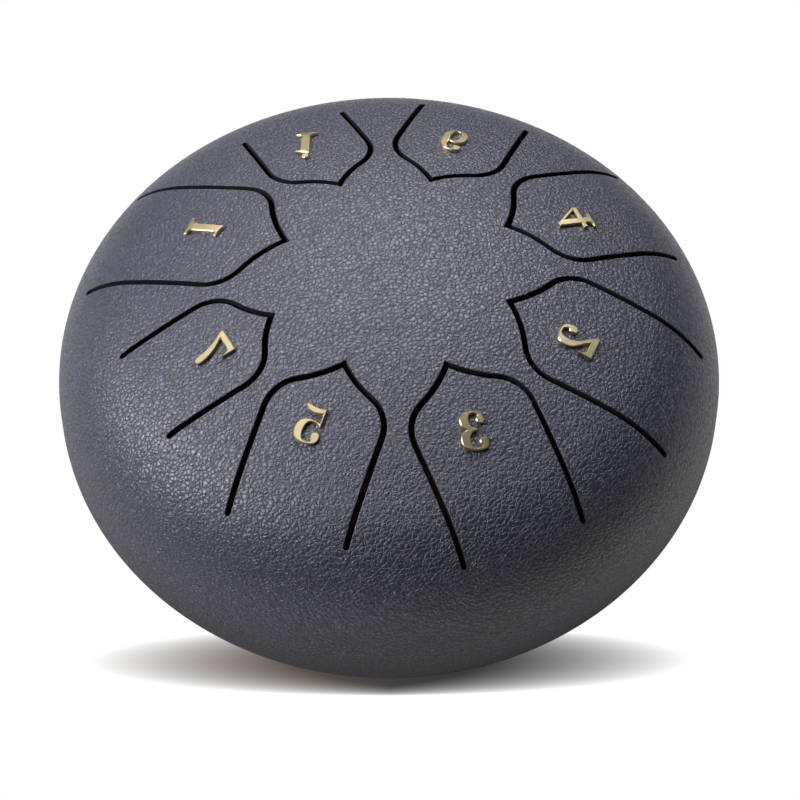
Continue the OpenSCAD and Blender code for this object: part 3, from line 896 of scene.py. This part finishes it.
class TONGUEDRUM_OT_numbers(bpy.types.Operator):
    """Stamps the eight numbers and lays each on its tongue"""

    bl_idname = "tongue_drum.numbers"
    bl_label = "Numbers"

    def execute(self, context):
        sizes = context.scene.drum_sizes
        dome = Dome(sizes)
        height, relief = sizes.number_height / MM, sizes.number_relief / MM
        bevel = sizes.number_bevel / MM
        brass = finish_of("polished brass")
        for place, note in enumerate(NOTES):
            tongue = Tongue(sizes, dome, place)
            bm = bmesh.new()
            loops = [outline_points(shares, height) for shares in NUMBER_OUTLINES[place]]
            stamp(bm, loops, relief, bevel)
            if note == "high_1":
                centre = Vector(HIGH_DOT_SHARES) * height
                radius = sizes.high_dot / MM / 2
                dot = [
                    centre + radius * Vector((math.cos(a), math.sin(a)))
                    for a in (math.tau * i / DOT_STEPS for i in range(DOT_STEPS))
                ]
                stamp(bm, [dot], relief, bevel)
            middle = Vector((NUMBER_WIDTH_SHARE * height / 2, height / 2, 0))
            bmesh.ops.translate(bm, vec=-middle, verts=bm.verts)
            if sizes.mirrored_numbers:
                bmesh.ops.scale(bm, vec=(-1, 1, 1), verts=bm.verts)
            own_turn = math.pi / 2 + math.radians(NUMBER_TURNS[place])
            rotate(bm, Matrix.Rotation(own_turn, 3, "Z"))
            for vert in bm.verts:
                reach = dome.crown + vert.co.z
                vert.co.z = math.sqrt(reach**2 - vert.co.x**2 - vert.co.y**2)
            circle = sizes.number_circle / MM * NUMBER_REACH_SHARES[place]
            tilt = Matrix.Rotation(math.asin(circle / dome.crown), 3, "Y")
            swing = tongue.angle - math.asin(NUMBER_SIDE_SHARES[place] * height / circle)
            rotate(bm, Matrix.Rotation(swing, 3, "Z") @ tilt)
            shift_up(bm, dome.seam + dome.crown_centre)
            bmesh.ops.recalc_face_normals(bm, faces=bm.faces)
            check_closed(bm, f"number {note}")
            number = finish_mesh(bm, f"brass_number_{note}", [brass], sharp=FINE_SHARP)
            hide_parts(f"number_{note}")
            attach(number, f"note_{note}")
        return {"FINISHED"}


# ---- lower dome ----


class TONGUEDRUM_OT_lower_dome(bpy.types.Operator):
    """Presses the lower dome with its sound port and lays the weld round the seam"""

    bl_idname = "tongue_drum.lower_dome"
    bl_label = "Lower dome and weld"

    def execute(self, context):
        dome = Dome(context.scene.drum_sizes)
        coat = finish_of("baked wrinkle enamel")
        lip = dome.sheet / 2
        seam = dome.seam

        def down(points):
            return [(r, seam - z) for r, z in points]

        inner_end = dome.radius - dome.sheet
        outside = down(dome.arc(0, dome.port + lip, dome.radius, LOWER_STEPS))
        inside = down(dome.arc(dome.sheet, inner_end, dome.port + lip, LOWER_STEPS))
        port_lip = []
        top, bottom = inside[-1][1], outside[0][1]
        for i in range(1, LIP_STEPS):
            a = math.pi * i / LIP_STEPS
            z = (top + bottom) / 2 + (top - bottom) / 2 * math.cos(a)
            port_lip.append((dome.port + lip - lip * math.sin(a), z))
        bm = bmesh.new()
        turn_profile(bm, outside + dome_edge(dome, -1) + inside + port_lip, closed=True)
        bmesh.ops.recalc_face_normals(bm, faces=bm.faces)
        check_closed(bm, "lower dome")
        # Faces deeper than half the sheet, inside the dome, take the near-black finish as painted
        # shade
        paint_sides(bm, dome, -1, dome.sheet / 2)
        bottom_skin = finish_mesh(bm, "lower_skin", [coat, finish_of("black primer")])
        set_outside_normals(bottom_skin, dome, -1)
        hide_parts("lower_dome")
        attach(bottom_skin, "drum")

        bm = bmesh.new()
        bead = [(dome.radius, seam - dome.weld), (dome.radius, seam + dome.weld)]
        turn_profile(bm, [(dome.radius - dome.weld, seam), *bead], closed=True)
        bmesh.ops.recalc_face_normals(bm, faces=bm.faces)
        check_closed(bm, "weld")
        weld = finish_mesh(bm, "weld_bead", [coat])
        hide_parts("seam_weld")
        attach(weld, "drum")
        return {"FINISHED"}


# ---- feet and fittings ----

FOOT_BEARINGS = {"front": -90, "left": 150, "right": 30}
# Radii at which a foot's seat follows the dome, and how far in from its side the seat ends
SEAT_RADII, SEAT_EDGE = (3.5, 5, 6.5), 0.4
# Distances down a foot's side, and how deep it is grooved at two of them
SIDE_STEPS, GROOVE = (0.5, 1.5, 1.7, 2.1, 2.3, 4, 6, 7.8), {1.7: 0.3, 2.1: 0.3}
FOOT_ROUND, FOOT_ROUND_STEPS, RECESS_CHAMFER = 0.7, 4, 0.3
THREAD_PITCH, THREAD_DEPTH = 0.7, 0.28
# A screw's plain neck, the chamfer of its point, where its thread starts, and its head's edges
NECK, POINT, THREAD_START = 0.8, 0.2, 0.3
HEAD_UNDER_EDGE, HEAD_DROP, HEAD_TOP_EDGE, HEAD_STEPS = 0.2, 0.1, 0.12, 8
# How far the cutter of the cross stands over the head, and how its arms taper
CROSS_OVER, CROSS_TAPER = 0.3, 0.25
# A washer's edges, broken, and the one that the punch rounded
BROKEN, PUNCHED = 0.12, 0.2
# A nut's chamfer, how far it is turned past the corners, its countersink and its thread's start
NUT_CHAMFER, NUT_PAST, COUNTERSINK, BORE_OVER, NUT_THREAD_START = 0.45, 0.1, 0.6, 0.2, 0.35


class Fitting:
    """Where a foot and its screw, washer and nut lie, in millimetres along the foot's own axis,
    which starts at the middle of the dome's crown arc and leaves the dome."""

    def __init__(self, sizes, dome):
        self.seat = dome.crown
        self.middle = Vector((0, 0, dome.seam - dome.crown_centre))
        self.tilt = math.asin(sizes.foot_circle / MM / dome.crown)
        self.length = self.middle.z / math.cos(self.tilt) - dome.crown
        self.top, self.bottom = sizes.foot_top / MM / 2, sizes.foot_bottom / MM / 2
        self.recess = sizes.foot_recess / MM / 2
        self.washer_seat = dome.crown + sizes.foot_web / MM
        self.head_seat = self.washer_seat + sizes.washer_thickness / MM
        self.screw = sizes.screw / MM / 2
        self.hole = self.screw + sizes.hole_clearance / MM
        self.tip = self.head_seat - sizes.screw_length / MM
        self.nut_corner = sizes.nut_width / MM / 2 / math.cos(math.pi / 6)
        self.nut_seat = math.sqrt((dome.crown - dome.sheet) ** 2 - self.nut_corner**2)

    def placed(self, bearing):
        """The turn and place of this fitting at a foot's bearing."""
        lean = Matrix.Rotation(math.pi - self.tilt, 4, "Y")
        turn = Matrix.Rotation(math.radians(bearing), 4, "Z") @ lean
        return Matrix.Translation(self.middle) @ turn

    def side(self, along):
        """The foot's radius at a distance along its axis."""
        return self.top - (self.top - self.bottom) * (along - self.seat) / self.length


def carve(bm, cutter, operation):
    """Cuts one bmesh by another, or keeps what they share, and gives back the result."""
    carved = []
    for part in (bm, cutter):
        bmesh.ops.recalc_face_normals(part, faces=part.faces)
        mesh = bpy.data.meshes.new("carving")
        part.to_mesh(mesh)
        part.free()
        made = bpy.data.objects.new("carving", mesh)
        bpy.context.scene.collection.objects.link(made)
        carved.append(made)
    modifier = carved[0].modifiers.new("carve", "BOOLEAN")
    modifier.operation, modifier.solver, modifier.object = operation, "EXACT", carved[1]
    shaped = carved[0].evaluated_get(bpy.context.evaluated_depsgraph_get())
    result = bmesh.new()
    result.from_mesh(shaped.to_mesh())
    shaped.to_mesh_clear()
    bmesh.ops.triangulate(result, faces=result.faces)
    bmesh.ops.remove_doubles(result, verts=result.verts, dist=GRAIN)
    bmesh.ops.dissolve_degenerate(result, edges=result.edges, dist=GRAIN)
    for made in carved:
        mesh = made.data
        bpy.data.objects.remove(made)
        bpy.data.meshes.remove(mesh)
    return result


def at_feet(bm, fitting):
    """Three copies of a fitting, one at each foot."""
    mesh = bpy.data.meshes.new("fitting")
    bm.to_mesh(mesh)
    bm.free()
    whole = bmesh.new()
    for bearing in FOOT_BEARINGS.values():
        copy = mesh.copy()
        copy.transform(fitting.placed(bearing))
        whole.from_mesh(copy)
        bpy.data.meshes.remove(copy)
    bpy.data.meshes.remove(mesh)
    return whole


def rubber_foot(fitting, bearing):
    """A tapered foot, hollowed to the dome it sits on, cut flat at the floor and rounded there."""
    seat, length = fitting.seat, fitting.length
    seat_radii = (fitting.hole, *SEAT_RADII, fitting.top - SEAT_EDGE)
    profile = [(r, math.sqrt(seat**2 - r * r)) for r in seat_radii]
    profile += [(fitting.side(seat + z) - GROOVE.get(z, 0), seat + z) for z in SIDE_STEPS]
    end = seat + length + 2 * fitting.top * math.tan(fitting.tilt)
    recess, floor = fitting.recess, fitting.washer_seat
    profile += [
        (fitting.side(end), end), (recess, end), (recess, floor + RECESS_CHAMFER),
        (recess - RECESS_CHAMFER, floor), (fitting.hole, floor),
    ]
    bm = bmesh.new()
    turn_profile(bm, profile, closed=True, faces=SMALL_ROUND_FACES)
    bmesh.ops.transform(bm, matrix=fitting.placed(bearing), verts=bm.verts)
    bmesh.ops.bisect_plane(
        bm, geom=all_of(bm), plane_co=(0, 0, 0), plane_no=(0, 0, 1), clear_inner=True
    )
    loops = [e for e in bm.edges if e.is_boundary]
    bmesh.ops.bridge_loops(bm, edges=loops)
    bmesh.ops.recalc_face_normals(bm, faces=bm.faces)
    bmesh.ops.bevel(
        bm, geom=loops, offset=FOOT_ROUND, segments=FOOT_ROUND_STEPS, profile=0.5,
        affect="EDGES", material=-1,
    )
    check_closed(bm, "foot")
    return bm


def threads(low, high, root, crest):
    """A thread's section between two heights, as rings from its roots to its crests."""
    count = max(int((high - low) / THREAD_PITCH), 1)
    pitch = (high - low) / count
    points = [(crest, low)]
    for i in range(count):
        points += [(root, low + (i + 0.5) * pitch), (crest, low + (i + 1) * pitch)]
    return points


def screw(sizes, fitting):
    """A pan-head screw with a thread, a domed head and a tapered cross for the driver."""
    head, height, seat = sizes.screw_head / MM / 2, sizes.screw_head_height / MM, fitting.head_seat
    shank, tip = fitting.screw, fitting.tip
    dome_radius = 2 * head
    dome_middle = seat + height - dome_radius
    rim = dome_middle + math.sqrt(dome_radius**2 - head**2)
    profile = [(0, tip), (shank - THREAD_DEPTH - POINT, tip)]
    profile += threads(tip + THREAD_START, seat - NECK, shank - THREAD_DEPTH, shank)
    profile += [
        (shank, seat), (head - HEAD_UNDER_EDGE, seat), (head, seat + HEAD_UNDER_EDGE),
        (head, rim - HEAD_DROP),
    ]
    for i in range(HEAD_STEPS + 1):
        r = (head - HEAD_TOP_EDGE) * (1 - i / HEAD_STEPS)
        profile.append((r, dome_middle + math.sqrt(dome_radius**2 - r * r)))
    bm = bmesh.new()
    turn_profile(bm, profile, closed=False, faces=SMALL_ROUND_FACES)
    arm, half = head / 2, head / 8
    quarter = [(arm, -half), (arm, half), (half, half)]
    cross = [
        Vector((x * c - y * d, x * d + y * c))
        for c, d in ((1, 0), (0, 1), (-1, 0), (0, -1)) for x, y in quarter
    ]
    cutter = bmesh.new()
    stamp(cutter, [cross], height / 2 + CROSS_OVER, CROSS_TAPER)
    bmesh.ops.scale(cutter, vec=(1, 1, -1), verts=cutter.verts)
    shift_up(cutter, seat + height + CROSS_OVER)
    return carve(bm, cutter, "DIFFERENCE")


def washer(sizes, fitting):
    """A flat washer with its stamped edges broken."""
    low, high = fitting.washer_seat, fitting.head_seat
    hole, wide = fitting.hole, sizes.washer / MM / 2
    profile = [
        (hole, low + BROKEN), (hole + BROKEN, low), (wide - PUNCHED, low), (wide, low + PUNCHED),
        (wide, high - BROKEN), (wide - BROKEN, high), (hole + BROKEN, high), (hole, high - BROKEN),
    ]
    bm = bmesh.new()
    turn_profile(bm, profile, closed=True, faces=SMALL_ROUND_FACES)
    return bm


def nut(sizes, fitting):
    """A hexagon nut with its corners chamfered and a thread in its countersunk hole."""
    high, corner = fitting.nut_seat, fitting.nut_corner
    low = high - sizes.nut_height / MM
    flat = sizes.nut_width / MM / 2
    bm = bmesh.new()
    bmesh.ops.create_circle(bm, cap_ends=True, radius=corner, segments=6)
    rotate(bm, Matrix.Rotation(math.pi / 2, 3, "Z"))
    shift_up(bm, low)
    top = verts_in(extrude(bm, bm.faces[:]))
    bmesh.ops.translate(bm, vec=(0, 0, high - low), verts=top)
    outline = [
        (0, low), (flat - NUT_PAST, low), (corner + NUT_PAST, low + NUT_CHAMFER),
        (corner + NUT_PAST, high - NUT_CHAMFER), (flat - NUT_PAST, high), (0, high),
    ]
    chamfered = bmesh.new()
    turn_profile(chamfered, outline, closed=False, faces=SMALL_ROUND_FACES)
    hole = fitting.screw + sizes.thread_clearance / MM
    below, above = low - BORE_OVER, high + BORE_OVER
    profile = [(0, below), (hole + COUNTERSINK, below)]
    profile += threads(low + NUT_THREAD_START, high - NUT_THREAD_START, hole + THREAD_DEPTH, hole)
    profile += [(hole + COUNTERSINK, above), (0, above)]
    bore = bmesh.new()
    turn_profile(bore, profile, closed=False, faces=SMALL_ROUND_FACES)
    return carve(carve(bm, chamfered, "INTERSECT"), bore, "DIFFERENCE")


class TONGUEDRUM_OT_feet(bpy.types.Operator):
    """Moulds the three feet and turns their screws, washers and nuts"""

    bl_idname = "tongue_drum.feet"
    bl_label = "Feet and fittings"

    def execute(self, context):
        sizes = context.scene.drum_sizes
        fitting = Fitting(sizes, Dome(sizes))
        for side, bearing in FOOT_BEARINGS.items():
            bm = rubber_foot(fitting, bearing)
            foot = finish_mesh(bm, f"rubber_foot_{side}", [finish_of("moulded rubber")])
            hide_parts(f"foot_{side}")
            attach(foot, "drum")
        for name, maker in (("screws", screw), ("washers", washer), ("nuts", nut)):
            bm = at_feet(maker(sizes, fitting), fitting)
            bmesh.ops.recalc_face_normals(bm, faces=bm.faces)
            check_closed(bm, name)
            fittings = finish_mesh(bm, f"zinc_{name}", [finish_of("zinc-plated steel")], FINE_SHARP)
            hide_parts(f"foot_{name}")
            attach(fittings, "drum")
        return {"FINISHED"}


# ---- stage ----

# Where the photograph was taken from, in metres, and the ways it looked and stood
CAMERA_PLACE = (0, -0.42943, 0.58255)
CAMERA_AHEAD = (0.00369467, 0.61882053, -0.78552372)
CAMERA_RIGHT = (0.99998531, -0.00540272, 0.00044721)
CAMERA_UP = (0.00396722, 0.78551382, 0.61883139)
CAMERA_LENS = 130.80
SENSOR = 36.0

# Soft boxes: name, bearing from the drum's right, height angle, distance and width and height in
# metres, power in watts and colour. The strong ones stand behind the drum and on its left, so that
# the crown and the left shoulder gleam and the front falls dark. The weak ones open its edges.
LAMPS = [
    ("back", 89, 48, 1.4, 1.0, 0.8, 22.5, "#f6f6ff"),
    ("left", 184, 37, 1.3, 0.5, 0.5, 21.5, "#f8f7ff"),
    ("top left", 170, 68, 1.3, 0.6, 0.6, 1.2, "#f8f7ff"),
    ("back right", 32, 34, 1.3, 0.7, 0.7, 0.5, "#c8e6ff"),
]
LAMP_AIM = (0, 0, 0.05)
FLOOR_SIZE = 12.0
WORLD_LEVEL = 0.03
# What the floor throws back at the drum, and the dark colour painted on its paper as shadow where
# the camera sees it
FLOOR_BOUNCE, FLOOR_SHADE = "#6e665c", "#5e5042"
FLOOR_FACES = 8
# Gloss sees the paper grow white between these two distances from the drum's axis, in metres
GLOSS_FROM, GLOSS_TO = 0.06, 0.16
# and sees it fade between these two, down to a share of its white
GLOSS_FADE_FROM, GLOSS_FADE_TO, GLOSS_FAR = 0.14, 0.45, 0.12
# The painted shadow close round the feet fades between these two distances from the drum's axis, in
# metres
SHADE_FROM, SHADE_TO = 0.044, 0.06
# The flat painted shadow in front: its middle, its half length and half depth, and how far in from
# its end it is darkest, in metres, how dark that is, and the power that rounds its fade
FRONT_SHADE_Y, FRONT_SHADE_LONG, FRONT_SHADE_DEEP = -0.0495, 0.071, 0.0098
FRONT_SHADE_FADE, FRONT_SHADE_DARK, FRONT_SHADE_POWER = 0.048, 0.76, 2.2
CLIP_NEAR, CLIP_FAR = 0.01, 100


def studio_floor(colours):
    """Matt white paper. The camera sees it at the white of the photograph's background, except in
    the painted shadow round the feet and in front, where dark paper lit by the lamps stands in for
    shade. Gloss and glass see it white near the drum and darker further off, and what it throws
    back at the drum is the light of plain grey paper."""
    material, tree, place = new_material("white paper floor")

    def maths(operation, *values):
        node = add(tree, "ShaderNodeMath", {"operation": operation}, dict(enumerate(values)))
        return node.outputs[0]

    split = add(tree, "ShaderNodeSeparateXYZ", inputs={"Vector": place}).outputs
    away = add(tree, "ShaderNodeVectorMath", {"operation": "LENGTH"}, {0: place}).outputs["Value"]
    # The painted shadow on the paper, as the camera sees it: round the feet, and flat in front
    painted_shadow_feet = mapped(tree, away, SHADE_FROM, SHADE_TO, smooth=True)
    deep = maths("DIVIDE", maths("SUBTRACT", split["Y"], FRONT_SHADE_Y), FRONT_SHADE_DEEP)
    rest = maths("MAXIMUM", maths("SUBTRACT", 1.0, maths("MULTIPLY", deep, deep)), 0.0)
    reach = maths("MULTIPLY", maths("SQRT", rest), FRONT_SHADE_LONG)
    inside = maths("SUBTRACT", reach, maths("ABSOLUTE", split["X"]))
    front = mapped(tree, inside, 0, FRONT_SHADE_FADE, 1, 1 - FRONT_SHADE_DARK)
    white = maths("MINIMUM", painted_shadow_feet, maths("POWER", front, FRONT_SHADE_POWER))
    # The paper as gloss and glass see it
    near = mapped(tree, away, GLOSS_FROM, GLOSS_TO, smooth=True)
    far = mapped(tree, away, GLOSS_FADE_FROM, GLOSS_FADE_TO, 1, GLOSS_FAR, smooth=True)
    path = add(tree, "ShaderNodeLightPath").outputs
    camera = path["Is Camera Ray"]
    glossy = maths("MAXIMUM", path["Is Glossy Ray"], path["Is Transmission Ray"])
    glossed = maths("MULTIPLY", glossy, maths("MULTIPLY", near, far))
    glowing = maths("ADD", maths("MULTIPLY", camera, white), glossed)

    def paper(colour):
        return add(tree, "ShaderNodeBsdfDiffuse", inputs={"Color": linear(colour)}).outputs[0]

    def chosen(share, one, other):
        inputs = {"Fac": share, 1: one, 2: other}
        return add(tree, "ShaderNodeMixShader", inputs=inputs).outputs[0]

    glow = add(tree, "ShaderNodeEmission", inputs={"Color": linear(colours.floor), "Strength": 1.0})
    # The camera sees the dark paper of the painted shadow, lit for real by the lamps; other rays
    # see grey paper
    lit = chosen(camera, paper(FLOOR_BOUNCE), paper(FLOOR_SHADE))
    mixed = chosen(glowing, lit, glow.outputs[0])
    add(tree, "ShaderNodeOutputMaterial", inputs={"Surface": mixed})
    return material


class TONGUEDRUM_OT_stage(bpy.types.Operator):
    """Sets the floor, the lamps, the world and the camera"""

    bl_idname = "tongue_drum.stage"
    bl_label = "Studio"

    def execute(self, context):
        scene = context.scene
        bm = bmesh.new()
        bmesh.ops.create_grid(
            bm, x_segments=FLOOR_FACES, y_segments=FLOOR_FACES, size=FLOOR_SIZE / 2
        )
        floor = finish_mesh(bm, "floor", [studio_floor(scene.drum_colours)], scale=1)

        for name, bearing, rise, away, width, height, power, colour in LAMPS:
            data = bpy.data.lights.new(name, "AREA")
            data.shape, data.size, data.size_y = "RECTANGLE", width, height
            data.energy, data.color = power, linear(colour)[:3]
            lamp = bpy.data.objects.new(name, data)
            scene.collection.objects.link(lamp)
            side, up = math.radians(bearing), math.radians(rise)
            ray = Vector(
                (math.cos(up) * math.cos(side), math.cos(up) * math.sin(side), math.sin(up))
            )
            lamp.location = Vector(LAMP_AIM) + ray * away
            lamp.rotation_euler = (-ray).to_track_quat("-Z", "Y").to_euler()

        world = bpy.data.worlds.new("studio")
        world.use_nodes = True
        world.node_tree.nodes.clear()
        light = add(
            world.node_tree, "ShaderNodeBackground",
            inputs={"Color": linear("#ffffff"), "Strength": WORLD_LEVEL},
        )
        add(world.node_tree, "ShaderNodeOutputWorld", inputs={"Surface": light.outputs[0]})
        scene.world = world
        scene.view_settings.view_transform = "Standard"

        data = bpy.data.cameras.new("camera")
        data.sensor_width, data.lens = SENSOR, CAMERA_LENS
        data.clip_start, data.clip_end = CLIP_NEAR, CLIP_FAR
        camera = bpy.data.objects.new("camera", data)
        scene.collection.objects.link(camera)
        turned = Matrix((CAMERA_RIGHT, CAMERA_UP, [-c for c in CAMERA_AHEAD])).transposed()
        camera.matrix_world = Matrix.Translation(CAMERA_PLACE) @ turned.to_4x4()
        scene.camera = camera
        return {"FINISHED"}


STEPS = [
    TONGUEDRUM_OT_upper_dome, TONGUEDRUM_OT_numbers, TONGUEDRUM_OT_lower_dome, TONGUEDRUM_OT_feet,
    TONGUEDRUM_OT_stage,
]


class TONGUEDRUM_PT_panel(bpy.types.Panel):
    """Lists the drum's pieces and its sizes and colours"""

    bl_idname = "TONGUEDRUM_PT_panel"
    bl_label = "Tongue drum"
    bl_space_type = "VIEW_3D"
    bl_region_type = "UI"
    bl_category = "Tongue drum"

    def draw(self, context):
        layout = self.layout
        for step in STEPS:
            layout.operator(step.bl_idname)
        for group in (context.scene.drum_sizes, context.scene.drum_colours):
            box = layout.box()
            for name in group.__annotations__:
                box.prop(group, name)


CLASSES = [DrumSizes, DrumColours, *STEPS, TONGUEDRUM_PT_panel]


def register():
    for cls in CLASSES:
        bpy.utils.register_class(cls)
    bpy.types.Scene.drum_sizes = PointerProperty(type=DrumSizes)
    bpy.types.Scene.drum_colours = PointerProperty(type=DrumColours)


def unregister():
    del bpy.types.Scene.drum_colours
    del bpy.types.Scene.drum_sizes
    for cls in reversed(CLASSES):
        bpy.utils.unregister_class(cls)


def main():
    register()
    bpy.ops.tongue_drum.upper_dome()
    bpy.ops.tongue_drum.numbers()
    bpy.ops.tongue_drum.lower_dome()
    bpy.ops.tongue_drum.feet()
    bpy.ops.tongue_drum.stage()


if __name__ == "__main__":
    main()
